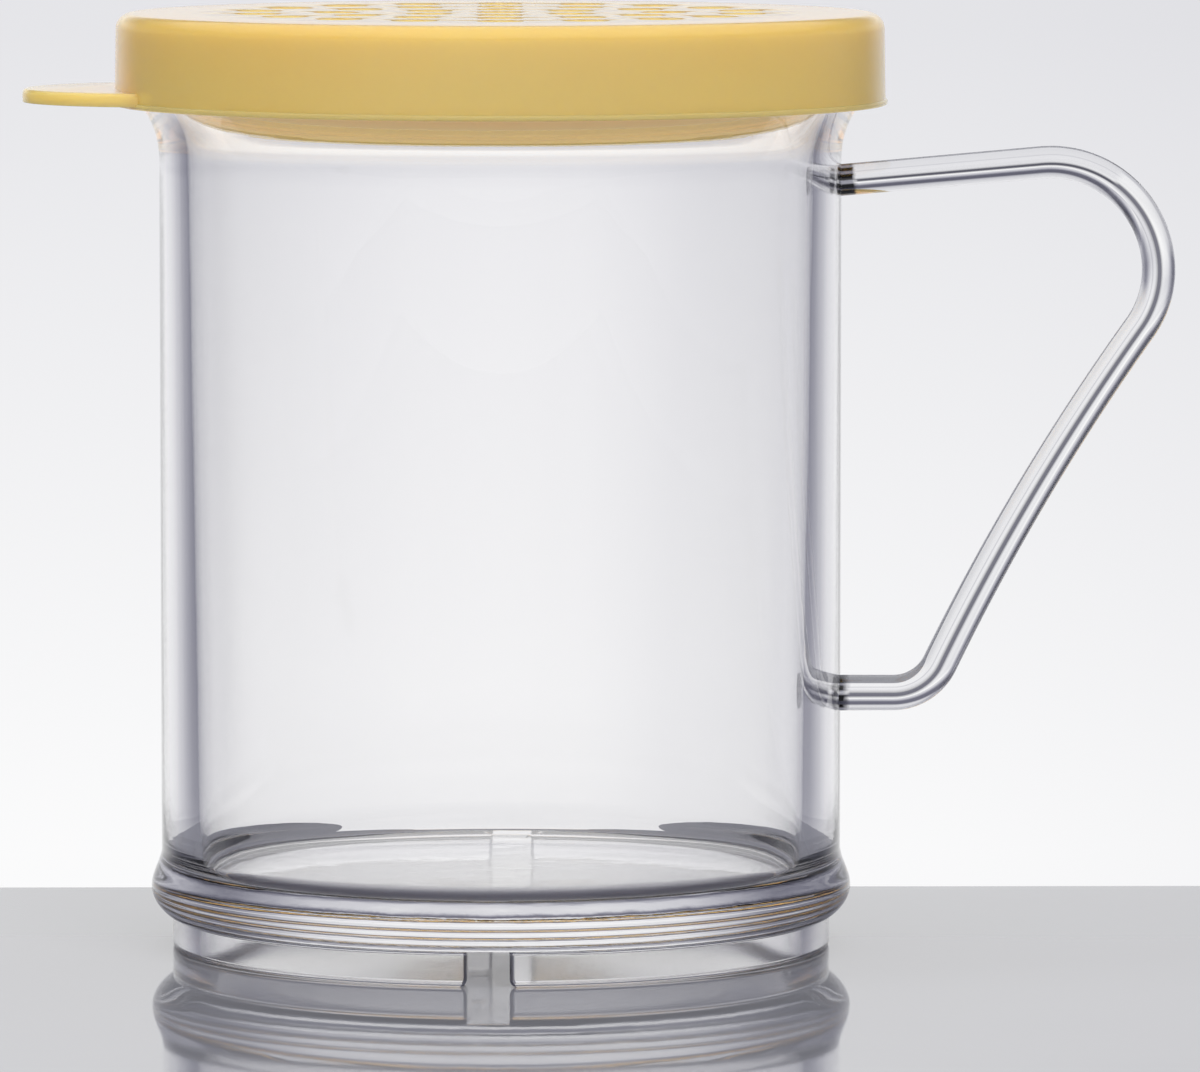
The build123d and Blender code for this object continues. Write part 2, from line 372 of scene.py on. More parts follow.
def handle_axis():
    """Points and headings along the rod's axis. On an arc the heading changes evenly with the length, and the
    points are the arc's centre plus its radius at right angles to the heading."""
    knuckle_x = HANDLE_REACH - KNUCKLE_R * (1 + sin(TOP_RISE))
    knuckle_z = HANDLE_TOP_Z + (knuckle_x - WALL_R) * tan(TOP_RISE)
    start = np.array([WALL_R - ROOT_SEAT, HANDLE_TOP_Z - ROOT_SEAT * tan(TOP_RISE)])
    end = np.array([knuckle_x, knuckle_z])
    count = int(np.linalg.norm(end - start) / ROD_STEP)
    points, headings = [line(start, end, count)], [np.full(count, TOP_RISE)]
    bends = [
        (KNUCKLE_R, -(pi / 2 + TOP_RISE)),
        (PALM_R, -GRIP_LEAN_TOP),
        (bow_radius(knuckle_z), GRIP_LEAN_TOP - GRIP_LEAN_LOW),
        (LOW_BEND_R, -(pi / 2 - GRIP_LEAN_LOW)),
    ]
    for radius, turn in bends:
        here, heading = points[-1][-1], headings[-1][-1]
        side = np.sign(turn)
        centre = here + side * radius * np.array([-sin(heading), cos(heading)])
        along = heading + np.linspace(0, turn, int(radius * abs(turn) / ROD_STEP))[1:]
        points.append(centre - side * radius * np.stack([-np.sin(along), np.cos(along)], axis=1))
        headings.append(along)
    here = points[-1][-1]
    root = np.array([WALL_R - ROOT_SEAT, here[1]])
    count = int(np.linalg.norm(root - here) / ROD_STEP)
    points.append(line(here, root, count)[1:])
    headings.append(np.full(count - 1, headings[-1][-1]))
    return np.concatenate(points), np.concatenate(headings)


axis_points, axis_headings = handle_axis()
steps = np.concatenate([[0], np.cumsum(np.linalg.norm(np.diff(axis_points, axis=0), axis=1))])
print("rod", round(steps[-1], 1), "mm long, reach", round(axis_points[:, 0].max() + ROD_TOP_R, 2), "mm")

# %% [markdown]
# The rod is round and grows a little from its upper to its lower root. A circle that stands at right angles
# to the heading rides along the axis, so the rod never pinches in a bend.

# %% Handle rod
ROD_COLUMNS = 64


def rod(points, headings, radii):
    """A circle at right angles to the heading at each point, in the plane of the bend's normal and of Y."""
    angle = np.linspace(0, 2 * pi, ROD_COLUMNS, endpoint=False)
    out, depth = np.cos(angle), np.sin(angle)
    radii = radii[:, None]
    x = points[:, :1] - np.sin(headings)[:, None] * radii * out
    z = points[:, 1:] + np.cos(headings)[:, None] * radii * out
    y = radii * depth
    rings = np.stack([x, y, z], axis=-1).reshape(-1, 3)
    last = (len(points) - 1) * ROD_COLUMNS
    ends = [list(range(ROD_COLUMNS)), list(range(last, last + ROD_COLUMNS))]
    return rings, [list(quad) for quad in grid_quads(len(points), ROD_COLUMNS)] + ends


rod_radii = ROD_TOP_R + (ROD_LOW_R - ROD_TOP_R) * steps / steps[-1]
handle = mesh_piece("handle_clear", [rod(axis_points, axis_headings, rod_radii)])

# %% [markdown]
# The dark lines in the rod follow its bends, so its finish needs to know how far along the rod and how far
# round it a point is. A UV map holds both, and it stays with the piece when the model is exported.

# %% Places along the rod


def wrap_round_axis(piece):
    """Give every corner a place on the rod: the length at the nearest axis point, in millimetres, and the
    angle round the axis as a share of a full turn. A face that crosses the seam goes on past one."""
    place = np.array([v.co[:] for v in piece.data.vertices]) / MM
    gaps = place[:, None, [0, 2]] - axis_points[None]
    nearest = np.argmin((gaps**2).sum(axis=2), axis=1)
    heading = axis_headings[nearest]
    gap = gaps[np.arange(len(place)), nearest]
    out = -np.sin(heading) * gap[:, 0] + np.cos(heading) * gap[:, 1]
    turn = np.arctan2(place[:, 1], out) / (2 * pi) % 1
    along = steps[nearest]
    uv = piece.data.uv_layers.new(name="rod")
    for face in piece.data.polygons:
        corners = [piece.data.loops[i].vertex_index for i in face.loop_indices]
        wraps = max(turn[c] for c in corners) - min(turn[c] for c in corners) > 0.5
        for loop, corner in zip(face.loop_indices, corners):
            shift = 1 if wraps and turn[corner] < 0.5 else 0
            uv.data[loop].uv = (along[corner], turn[corner] + shift)
    print(piece.name, "wrapped,", round(float(along.max()), 1), "mm long")


wrap_round_axis(handle)
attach(handle, "cup_body")
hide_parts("handle")

# %% [markdown]
# The lid's skirt is turned too. Its outline runs from the flat top over the rounded edge, down the outside
# to the lip, and back underneath past the bead that holds the rim and the short ring that centres the lid in
# the mouth. The play between lid and cup is what the CAD part gives them.

# %% Lid outline
lid_low, lid_high = (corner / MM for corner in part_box("lid"))
LID_TOP_Z = lid_high.z
SKIRT_Z = lid_low.z
LIP_R = lid_high.y
TAB_TIP_X = lid_low.x
LID_TOP_R = 40.4
LID_SKIRT_R = 40.55
LID_EDGE_R = 1.65
LID_EDGE_POINTS = 14
SKIRT_PLAY = 0.45
SKIRT_INNER_R = RIM_R + SKIRT_PLAY
SKIRT_ROOT_R = 0.4
LIP_HEIGHT = 0.6
LIP_EDGE_R = 0.18
LIP_EDGE_POINTS = 5
LEAD_IN_OUT = 0.2
BEAD_PLAY = 0.2
BEAD_R = RIM_R + BEAD_PLAY
BEAD_HEIGHT = 1.0
BEAD_LAND = 0.3
BEAD_LEAD = 0.35
RING_PLAY = 0.3
RING_THICKNESS = 1.2
RING_OUTER_R = MOUTH_R - RING_PLAY
RING_INNER_R = RING_OUTER_R - RING_THICKNESS
RING_DRAFT = 0.2
RING_DEPTH = 4.2
PERFORATED_R = 32.0


def lid_outline():
    """Radius and height from the edge of the perforated sheet over the top, down the skirt and back
    underneath to the sheet's lower edge."""
    top, under = (PERFORATED_R, LID_TOP_Z), (PERFORATED_R, CUP_HEIGHT)
    edge, skirt_low = (LID_TOP_R, LID_TOP_Z), (LID_SKIRT_R, SKIRT_Z + LIP_HEIGHT)
    lip_top, lip_low = (LIP_R, SKIRT_Z + LIP_HEIGHT), (LIP_R, SKIRT_Z)
    bead_z = SKIRT_Z + BEAD_HEIGHT
    bead_low = bead_z - BEAD_LEAD
    skirt_top, ring_root = (SKIRT_INNER_R, CUP_HEIGHT), (RING_OUTER_R, CUP_HEIGHT)
    ring_z = CUP_HEIGHT - RING_DEPTH
    return joined(
        [top],
        rounded_corner(top, edge, skirt_low, LID_EDGE_R, LID_EDGE_POINTS),
        [skirt_low],
        rounded_corner(skirt_low, lip_top, lip_low, LIP_EDGE_R, LIP_EDGE_POINTS),
        rounded_corner(lip_top, lip_low, (SKIRT_INNER_R, SKIRT_Z), LIP_EDGE_R, LIP_EDGE_POINTS),
        [(SKIRT_INNER_R + LEAD_IN_OUT, SKIRT_Z)],
        [(BEAD_R, bead_low), (BEAD_R, bead_low + BEAD_LAND), (SKIRT_INNER_R, bead_z + BEAD_LAND)],
        rounded_corner((SKIRT_INNER_R, bead_z), skirt_top, ring_root, SKIRT_ROOT_R),
        [ring_root, (RING_OUTER_R - RING_DRAFT, ring_z), (RING_INNER_R + RING_DRAFT, ring_z)],
        [(RING_INNER_R, CUP_HEIGHT), under],
    )


print("lid outline", len(lid_outline()), "points, skirt", round(LID_TOP_Z - SKIRT_Z, 2), "mm high")

# %% [markdown]
# Round holes in rings let the spice out. Cutting 37 of them with booleans would be slow and leave long thin
# faces on a top that is glossy and seen nearly edge-on. So each hole gets its own small turned wall with
# softened edges, and flat sheets will fill the space between the holes.

# %% Holes in the lid
HOLE_R = 2.3
HOLE_EDGE_R = 0.25
HOLE_EDGE_POINTS = 5
HOLE_COLUMNS = 48
RING_PITCH = 8.6
RING_COUNT = 3
HOLES_PER_RING_STEP = 6
FRONT = -90


def hole_centres():
    """One hole in the middle, then rings of 6, 12 and 18, evenly spaced, each starting at the front."""
    centres = [np.zeros((1, 2))]
    for ring in range(1, RING_COUNT + 1):
        count = ring * HOLES_PER_RING_STEP
        centres.append(arc((0, 0), ring * RING_PITCH, FRONT, FRONT + 360 * (1 - 1 / count), count))
    return np.concatenate(centres)


def hole_walls(centres):
    """A small turned wall at every centre: softened top edge, straight bore, softened lower edge."""
    edge_x = HOLE_R + HOLE_EDGE_R
    top_edge = arc((edge_x, LID_TOP_Z - HOLE_EDGE_R), HOLE_EDGE_R, 90, 180, HOLE_EDGE_POINTS)
    low_edge = arc((edge_x, CUP_HEIGHT + HOLE_EDGE_R), HOLE_EDGE_R, 180, 270, HOLE_EDGE_POINTS)
    points, quads = lathe(joined(top_edge, low_edge), HOLE_COLUMNS)
    places = np.concatenate([centres, np.zeros((len(centres), 1))], axis=1)
    all_points = (places[:, None, :] + points[None, :, :]).reshape(-1, 3)
    all_quads = (np.arange(len(centres))[:, None, None] * len(points) + quads[None]).reshape(-1, 4)
    return all_points, all_quads


centres = hole_centres()
print(len(centres), "holes, outermost ring at", round(RING_COUNT * RING_PITCH, 1), "mm")

# %% [markdown]
# The top is flat, so it needs no grid. A Delaunay triangulation between the round rim and the holes' rims
# fills it, once for the upper and once for the lower face, and its points meet those of the skirt and of the
# hole walls. Most of the triangles that fill a hole are left out again by their distance from its centre, but
# thin ones right inside its rim stay, so the lid's mesh isn't closed there.

# %% Lid with its perforated top
LID_COLUMNS = 480
INSIDE_OF_RIM = 1


def perforated_sheet(centres, z):
    """A flat sheet at one height between its round rim and the rims of the holes. A triangle whose middle is
    nearer to a hole's centre than the middle of its softened edge is left out. The hole's rim lies further
    out, so thin triangles right inside it stay."""
    rim = arc((0, 0), PERFORATED_R, 0, 360 * (1 - 1 / LID_COLUMNS), LID_COLUMNS)
    hole = arc((0, 0), HOLE_R + HOLE_EDGE_R, 0, 360 * (1 - 1 / HOLE_COLUMNS), HOLE_COLUMNS)
    holes = (centres[:, None, :] + hole[None, :, :]).reshape(-1, 2)
    flat = np.concatenate([rim, holes])
    loops = [list(range(LID_COLUMNS))]
    for start in range(LID_COLUMNS, len(flat), HOLE_COLUMNS):
        loops.append(list(range(start + HOLE_COLUMNS - 1, start - 1, -1)))
    edges = [(loop[i - 1], loop[i]) for loop in loops for i in range(len(loop))]
    corners = [tuple(p) for p in flat]
    points, _, faces, *_ = delaunay_2d_cdt(corners, edges, [], INSIDE_OF_RIM, SAME_POINT)
    points = np.array([tuple(p) for p in points])
    faces = np.array([f for f in faces if len(f) == 3])
    middles = points[faces].mean(axis=1)
    nearest = np.linalg.norm(middles[:, None, :] - centres[None, :, :], axis=2).min(axis=1)
    solid = faces[nearest > HOLE_R + 0.5 * HOLE_EDGE_R]
    return np.concatenate([points, np.full((len(points), 1), z)], axis=1), solid


lid_parts = [
    lathe(lid_outline(), LID_COLUMNS),
    perforated_sheet(centres, LID_TOP_Z),
    perforated_sheet(centres, CUP_HEIGHT),
    hole_walls(centres),
]
lid = mesh_piece("lid_yellow", lid_parts)

# %% [markdown]
# A flat tongue with a round end sticks out of the skirt, away from the handle, and a thumb lifts the lid by
# it. Its rim is one closed path, and the plate's edge profile, upright and then turned in at the top, is
# carried along that path. It is joined to the skirt as one moulding, so no seam shows.

# %% Lift tab
TAB_R = 15.5
TAB_THICKNESS = 1.4
TAB_UNDERCUT = 0.3
TAB_EDGE_R = 0.5
TAB_EDGE_POINTS = 7
TAB_TIP_POINTS = 61
TAB_ROOT_POINTS = 41
TAB_ROOT_R = (SKIRT_INNER_R + LID_SKIRT_R) / 2


def tab_rim():
    """Points and outward directions of the tongue's rim: an arc round the tip up to the circle in the middle
    of the skirt's wall, and that circle's arc back. Where two circles cross follows from their radii and
    distance."""
    centre_x = TAB_TIP_X + TAB_R
    cross_x = (TAB_ROOT_R**2 - TAB_R**2 + centre_x**2) / (2 * centre_x)
    cross_y = sqrt(TAB_ROOT_R**2 - cross_x**2)
    start = degrees(atan2(cross_y, cross_x - centre_x))
    tip = arc((centre_x, 0), TAB_R, start, 360 - start, TAB_TIP_POINTS)
    root_angle = degrees(atan2(cross_y, cross_x))
    root = arc((0, 0), TAB_ROOT_R, 360 - root_angle, root_angle, TAB_ROOT_POINTS)[1:-1]
    tip_outwards = arc((0, 0), 1, start, 360 - start, TAB_TIP_POINTS)
    return np.concatenate([tip, root]), np.concatenate([tip_outwards, np.zeros_like(root)])


def tab_plate():
    """The rim moved inwards and upwards step by step for the softened top edge, closed by two flat faces."""
    rim, outwards = tab_rim()
    low = SKIRT_Z + TAB_UNDERCUT
    high = low + TAB_THICKNESS
    edge = joined([(0, low)], arc((-TAB_EDGE_R, high - TAB_EDGE_R), TAB_EDGE_R, 0, 90, TAB_EDGE_POINTS))
    flat = rim[None] + outwards[None] * edge[:, :1, None]
    height = np.broadcast_to(edge[:, 1:, None], (len(edge), len(rim), 1))
    points = np.concatenate([flat, height], axis=2).reshape(-1, 3)
    count = len(rim)
    last = (len(edge) - 1) * count
    faces = [list(quad) for quad in grid_quads(len(edge), count)]
    return points, faces + [list(range(count)), list(range(last, last + count))]


lid = cut(lid, mesh_piece("tab_tool", [tab_plate()]), "UNION")
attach(lid, "lid_body")
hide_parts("lid")

# %% [markdown]
# Every finish is worked out from the place on the surface, never from a picture, so it has detail at any
# distance. The same few steps come back in each: arithmetic on a coordinate, tones that follow a list of
# stops, cloudy noise, and small bumps. Each is a helper that adds its node and returns the node's output.

# %% Tools for finishes


def new_finish(name):
    """An empty material, with its node tree and its shader."""
    material = bpy.data.materials.new(name)
    material.use_nodes = True
    return material, material.node_tree, material.node_tree.nodes["Principled BSDF"]


def set_input(tree, socket, value):
    """A socket is linked, and a number or a colour is written on the node itself."""
    if hasattr(value, "links"):
        tree.links.new(value, socket)
    else:
        socket.default_value = value


def math_node(tree, operation, *values):
    """One arithmetic node."""
    node = tree.nodes.new("ShaderNodeMath")
    node.operation = operation
    for socket, value in zip(node.inputs, values):
        set_input(tree, socket, value)
    return node.outputs[0]


def axes(tree, place):
    """The three coordinates of a place."""
    split = tree.nodes.new("ShaderNodeSeparateXYZ")
    tree.links.new(place, split.inputs[0])
    return split.outputs


def stretched(tree, place, scale):
    """The same place with each axis scaled, so that a noise read there is drawn out."""
    node = tree.nodes.new("ShaderNodeVectorMath")
    node.operation = "MULTIPLY"
    tree.links.new(place, node.inputs[0])
    node.inputs[1].default_value = scale
    return node.outputs[0]


def colour_profile(tree, value, stops):
    """A colour that follows a list of (place, colour) stops, straight from one stop to the next."""
    low, high = stops[0][0], stops[-1][0]
    place = tree.nodes.new("ShaderNodeMapRange")
    place.inputs["From Min"].default_value = low
    place.inputs["From Max"].default_value = high
    tree.links.new(value, place.inputs["Value"])
    ramp_node = tree.nodes.new("ShaderNodeValToRGB")
    tree.links.new(place.outputs["Result"], ramp_node.inputs[0])
    elements = ramp_node.color_ramp.elements
    while len(elements) < len(stops):
        elements.new(0.5)
    for element, (stop, colour) in zip(elements, stops):
        element.position = (stop - low) / (high - low)
        element.color = colour
    return ramp_node.outputs["Color"]


def tone_profile(tree, value, tones, blue=1.0):
    """The same with grey tones. A power below one for blue makes the dark tones lilac."""
    return colour_profile(tree, value, [(stop, (tone, tone, tone**blue, 1)) for stop, tone in tones])


def mix_colours(tree, share, first, second, blend="MIX"):
    """The second colour laid over the first one with a share that is a number or a socket."""
    node = tree.nodes.new("ShaderNodeMixRGB")
    node.blend_type = blend
    for socket, value in zip(node.inputs, (share, first, second)):
        set_input(tree, socket, value)
    return node.outputs[0]


def noise(tree, place, clouds):
    """Cloudy grey at a place. The clouds are a scale, in clouds per metre, and a number of finer layers."""
    node = tree.nodes.new("ShaderNodeTexNoise")
    node.inputs["Scale"].default_value, node.inputs["Detail"].default_value = clouds
    tree.links.new(place, node.inputs["Vector"])
    return node.outputs["Fac"]


def raise_surface(tree, shader, height, distance, strength=1.0):
    """Shading as if the surface stood out by the height times the distance, in metres."""
    bump = tree.nodes.new("ShaderNodeBump")
    bump.inputs["Strength"].default_value = strength
    bump.inputs["Distance"].default_value = distance
    tree.links.new(height, bump.inputs["Height"])
    tree.links.new(bump.outputs["Normal"], shader.inputs["Normal"])


def dress(piece, finish):
    """Give a piece its finish in place of the one it came with."""
    piece.data.materials.clear()
    piece.data.materials.append(finish)
    print(piece.name, "wears", finish.name, "of", len(finish.node_tree.nodes), "nodes")


# %% [markdown]
# The cup is clear polycarbonate, which bends light by an index of about 1.585 and is almost colourless. A
# plain glass shader would look like a drawing. The moulded wall has faint upright draw lines, the foot has
# ripples where the plastic filled the mould, its lower edge is slightly frosted from standing, and the cut
# faces of the notches get painted shade, which stands in for the light that enters there and leaves sideways.

# %% Clear polycarbonate of the cup
POLYCARBONATE_INDEX = 1.585
PLAIN_CLEAR = (0.995, 0.993, 0.995, 1)
# Painted shade for the cut faces of the notches.
NOTCH_PAINTED_SHADE = (0.1, 0.1, 0.13, 1)
NOTCH_EDGE_WIDTH = 0.28
NOTCH_EDGE_MARGIN = 0.05
FROST = [(0, 0.07), (3.2, 0.07), (3.5, 0.0), (8, 0.0)]
DRAW_LINES = (420, 3)
DRAW_LINE_STRETCH = (1, 1, 0.03)
DRAW_LINE_DEPTH = 0.004
RIPPLES = (130, 2)
RIPPLE_STRETCH = (1, 1, 2.5)
RIPPLE_DEPTH = 0.014
RIPPLE_SHARE = [(0, 0.3), (3, 0.3), (4.5, 1), (9.5, 1), (12, 0)]


def clear_plastic(name):
    """A finish that lets light through and bends it."""
    material, tree, shader = new_finish(name)
    shader.inputs["Base Color"].default_value = PLAIN_CLEAR
    shader.inputs["Transmission Weight"].default_value = 1.0
    shader.inputs["IOR"].default_value = POLYCARBONATE_INDEX
    shader.inputs["Roughness"].default_value = 0.0
    return material, tree, shader


def on_notch_edge(tree, x, y, height):
    """One on the cut faces of the notches, else zero: the distance from the notches' middle line is compared
    with half their width, which grows in the lip by the depth squared over twice the lip's radius."""
    along_x = math_node(tree, "MULTIPLY", x, cos(NOTCH_TURN) / MM)
    along_y = math_node(tree, "MULTIPLY", y, sin(NOTCH_TURN) / MM)
    across = math_node(tree, "ABSOLUTE", math_node(tree, "ADD", along_x, along_y))
    in_lip = math_node(tree, "MAXIMUM", math_node(tree, "SUBTRACT", NOTCH_LIP_R, height), 0.0)
    squared = math_node(tree, "MULTIPLY", in_lip, in_lip)
    widening = math_node(tree, "MULTIPLY", squared, 0.5 / NOTCH_LIP_R)
    edge = math_node(tree, "ADD", widening, NOTCH_WIDTH / 2 + NOTCH_EDGE_MARGIN)
    near_edge = math_node(tree, "COMPARE", across, edge, NOTCH_EDGE_WIDTH)
    below_floor = math_node(tree, "LESS_THAN", height, UNDERSIDE_Z - NOTCH_EDGE_MARGIN)
    return math_node(tree, "MULTIPLY", near_edge, below_floor)


def cup_polycarbonate():
    """Clear plastic with draw lines, foot ripples, a frosted foot and painted shade on the notch faces."""
    material, tree, shader = clear_plastic("clear_cup")
    place = tree.nodes.new("ShaderNodeTexCoord").outputs["Object"]
    x, y, z = axes(tree, place)
    height = math_node(tree, "MULTIPLY", z, 1 / MM)
    lines = noise(tree, stretched(tree, place, DRAW_LINE_STRETCH), DRAW_LINES)
    ripples = noise(tree, stretched(tree, place, RIPPLE_STRETCH), RIPPLES)
    ripples = math_node(tree, "MULTIPLY", ripples, tone_profile(tree, height, RIPPLE_SHARE))
    relief = math_node(
        tree, "ADD",
        math_node(tree, "MULTIPLY", lines, DRAW_LINE_DEPTH * MM),
        math_node(tree, "MULTIPLY", ripples, RIPPLE_DEPTH * MM),
    )
    raise_surface(tree, shader, relief, 1.0)
    tree.links.new(tone_profile(tree, height, FROST), shader.inputs["Roughness"])
    # The notch faces get painted shade in the base colour.
    colour = mix_colours(tree, on_notch_edge(tree, x, y, height), PLAIN_CLEAR, NOTCH_PAINTED_SHADE)
    tree.links.new(colour, shader.inputs["Base Color"])
    return material


dress(cup, cup_polycarbonate())

# %% [markdown]
# The rod is the same plastic, with dark and bright lines that run along it and change where it was bent at
# the knuckle. They are painted reflection lines, which stand in for the surroundings seen in the rod. Left to
# the surroundings alone, they would lie elsewhere, so they are painted: each list gives a tone for each place
# round the rod, as a share of a full turn. At both roots, where the rod is welded in, painted shade darkens
# it and ends raggedly.

# %% Clear polycarbonate of the rod
LILAC = 0.88
KNUCKLE_BREAK = 30.5
BREAK_LENGTH = 0.8
ROOT_SHADE_LENGTH = 1.6
LOW_ROOT_SHADE_LENGTH = 0.1
ROOT_SHADE_FADE = 0.4
ROOT_SHADE_CLOUDS = (1500, 2)
ROOT_SHADE_RAGGEDNESS = 0.8
# Painted reflection lines: a tone for each place round the rod, before and past the knuckle's break.
UPPER_PAINTED_LINES = [
    (0.0, 0.9), (0.5, 0.9), (0.56, 0.85), (0.605, 0.97), (0.645, 0.55), (0.675, 0.55), (0.69, 0.98),
    (0.722, 0.98), (0.732, 0.01), (0.75, 0.01), (0.765, 0.8), (0.825, 0.8), (0.834, 0.5), (0.843, 0.75),
    (0.95, 0.72), (1.0, 0.8),
]
LOWER_PAINTED_LINES = [
    (0.0, 0.97), (0.5, 0.95), (0.56, 0.97), (0.62, 0.97), (0.675, 0.95), (0.684, 0.5), (0.693, 0.9),
    (0.71, 0.85), (0.737, 0.04), (0.765, 0.04), (0.785, 0.97), (0.88, 0.97), (0.9, 0.5), (0.93, 0.5),
    (0.95, 0.95), (1.0, 0.95),
]
# Painted shade at both roots: a tone for each place round the rod.
ROOT_SHADE_TURNS = [
    (0.0, 0.2), (0.5, 0.1), (0.59, 0.0), (0.64, 0.0), (0.65, 0.3), (0.66, 0.3), (0.67, 0.0), (0.71, 0.0),
    (0.725, 0.9), (0.745, 0.9), (0.755, 0.0), (0.81, 0.0), (0.82, 0.3), (0.84, 0.3), (0.85, 0.0),
    (0.885, 0.0), (0.9, 0.4), (1.0, 0.2),
]


def rod_polycarbonate():
    """Clear plastic with painted reflection lines by the turn round the axis, others past the knuckle, and
    painted shade at the roots.
    """
    material, tree, shader = clear_plastic("clear_rod")
    coordinates = tree.nodes.new("ShaderNodeTexCoord")
    along, turn, _ = axes(tree, coordinates.outputs["UV"])
    upper = tone_profile(tree, turn, UPPER_PAINTED_LINES, LILAC)
    lower = tone_profile(tree, turn, LOWER_PAINTED_LINES, LILAC)
    root_shade = tone_profile(tree, turn, ROOT_SHADE_TURNS, LILAC)
    past_break = tone_profile(tree, along, [(KNUCKLE_BREAK - BREAK_LENGTH, 0), (KNUCKLE_BREAK, 1)])
    lines = mix_colours(tree, past_break, upper, lower)
    ragged = noise(tree, coordinates.outputs["Object"], ROOT_SHADE_CLOUDS)
    along = math_node(tree, "ADD", along, math_node(tree, "MULTIPLY", ragged, ROOT_SHADE_RAGGEDNESS))
    end = float(steps[-1])
    top_shade_end, low_shade_start = ROOT_SEAT + ROOT_SHADE_LENGTH, end - ROOT_SEAT
    at_root_shade = [
        (0, 1), (top_shade_end, 1), (top_shade_end + ROOT_SHADE_FADE, 0),
        (low_shade_start - ROOT_SHADE_FADE, 0), (low_shade_start - LOW_ROOT_SHADE_LENGTH, 1), (end + 1, 1),
    ]
    # The painted shade at the roots lies over the painted reflection lines.
    colour = mix_colours(tree, tone_profile(tree, along, at_root_shade), lines, root_shade)
    tree.links.new(colour, shader.inputs["Base Color"])
    return material


dress(handle, rod_polycarbonate())

# %% [markdown]
# The lid is polyethylene with yellow pigment. It is satin rather than glossy, and a little light goes through
# its thin walls, which subsurface scattering gives. The skin is never quite even: the pigment's tone changes
# slowly and there is a fine orange peel. The clear rim gathers light and throws it on the lid's inner faces.
# Following that light would take far too long, so those faces glow faintly instead.

# %% Yellow polyethylene
LID_YELLOW = (0.975, 0.54, 0.165, 1)
DEEPER_YELLOW = (0.955, 0.515, 0.15, 1)
PIGMENT_CLOUDS = (45, 3)
PIGMENT_STOPS = [(0.3, DEEPER_YELLOW), (0.7, LID_YELLOW)]
PEEL_CLOUDS = (900, 2)
PEEL_HEIGHT = 0.1
PEEL_STRENGTH = 0.12
LID_ROUGHNESS = 0.07
POLYETHYLENE_INDEX = 1.52
SCATTER_DEPTH = 6.0
SCATTER_BY_COLOUR = (1.0, 0.95, 0.7)
GATHERED_LIGHT = (1.0, 0.83, 0.55, 1)
GATHERED_STRENGTH = 0.22
INNER_MARGIN = 0.02


def on_inner_faces(tree, place):
    """One inside the skirt and under the top, else zero. The radius is the root of x squared plus y
    squared."""
    x, y, z = axes(tree, place)
    x_squared, y_squared = math_node(tree, "MULTIPLY", x, x), math_node(tree, "MULTIPLY", y, y)
    radius = math_node(tree, "SQRT", math_node(tree, "ADD", x_squared, y_squared))
    inner = math_node(tree, "LESS_THAN", radius, (SKIRT_INNER_R + INNER_MARGIN) * MM)
    under = math_node(tree, "LESS_THAN", z, (CUP_HEIGHT + INNER_MARGIN) * MM)
    return math_node(tree, "MULTIPLY", inner, under)


def yellow_polyethylene():
    """Yellow pigment that changes slowly from place to place, light that spreads inside, fine orange peel."""
    material, tree, shader = new_finish("yellow_polyethylene")
    place = tree.nodes.new("ShaderNodeTexCoord").outputs["Object"]
    pigment = colour_profile(tree, noise(tree, place, PIGMENT_CLOUDS), PIGMENT_STOPS)
    tree.links.new(pigment, shader.inputs["Base Color"])
    raise_surface(tree, shader, noise(tree, place, PEEL_CLOUDS), PEEL_HEIGHT * MM, PEEL_STRENGTH)
    shader.inputs["Roughness"].default_value = LID_ROUGHNESS
    shader.inputs["IOR"].default_value = POLYETHYLENE_INDEX
    shader.inputs["Subsurface Weight"].default_value = 1.0
    shader.inputs["Subsurface Radius"].default_value = SCATTER_BY_COLOUR
    shader.inputs["Subsurface Scale"].default_value = SCATTER_DEPTH * MM
    shader.inputs["Emission Color"].default_value = GATHERED_LIGHT
    glow = math_node(tree, "MULTIPLY", on_inner_faces(tree, place), GATHERED_STRENGTH)
    tree.links.new(glow, shader.inputs["Emission Strength"])
    return material


dress(lid, yellow_polyethylene())

# %% [markdown]
# The shaker stands on a slab of grey acrylic that mirrors it faintly. An endless floor would do for most
# objects, but through a clear cup the floor's far edge shows, so the slab is a real box whose back edge lies
# close behind the cup. It is slightly cloudy, and wiping has left its gloss uneven.

# %% Table
TABLE_BACK_Y = 47.0
TABLE_FRONT_Y = -900.0
TABLE_HALF_WIDTH = 600.0
TABLE_THICKNESS = 12.0
ACRYLIC_INDEX = 1.49
DARK_ACRYLIC = (0.29, 0.295, 0.325, 1)
PALE_ACRYLIC = (0.30, 0.305, 0.335, 1)
HAZE_CLOUDS = (9, 4)
WIPE_CLOUDS = (40, 3)
WIPED_ROUGHNESS = [(0.3, 0.02), (0.7, 0.045)]


def table_slab():
    """A box below the object: eight corners and six faces."""
    x = np.array([-1, 1, 1, -1, -1, 1, 1, -1]) * TABLE_HALF_WIDTH
    y = np.array([TABLE_FRONT_Y, TABLE_FRONT_Y, TABLE_BACK_Y, TABLE_BACK_Y] * 2)
    z = np.array([-TABLE_THICKNESS] * 4 + [0.0] * 4)
    faces = [(0, 3, 2, 1), (4, 5, 6, 7), (0, 1, 5, 4), (1, 2, 6, 5), (2, 3, 7, 6), (3, 0, 4, 7)]
    return np.stack([x, y, z], axis=1), faces


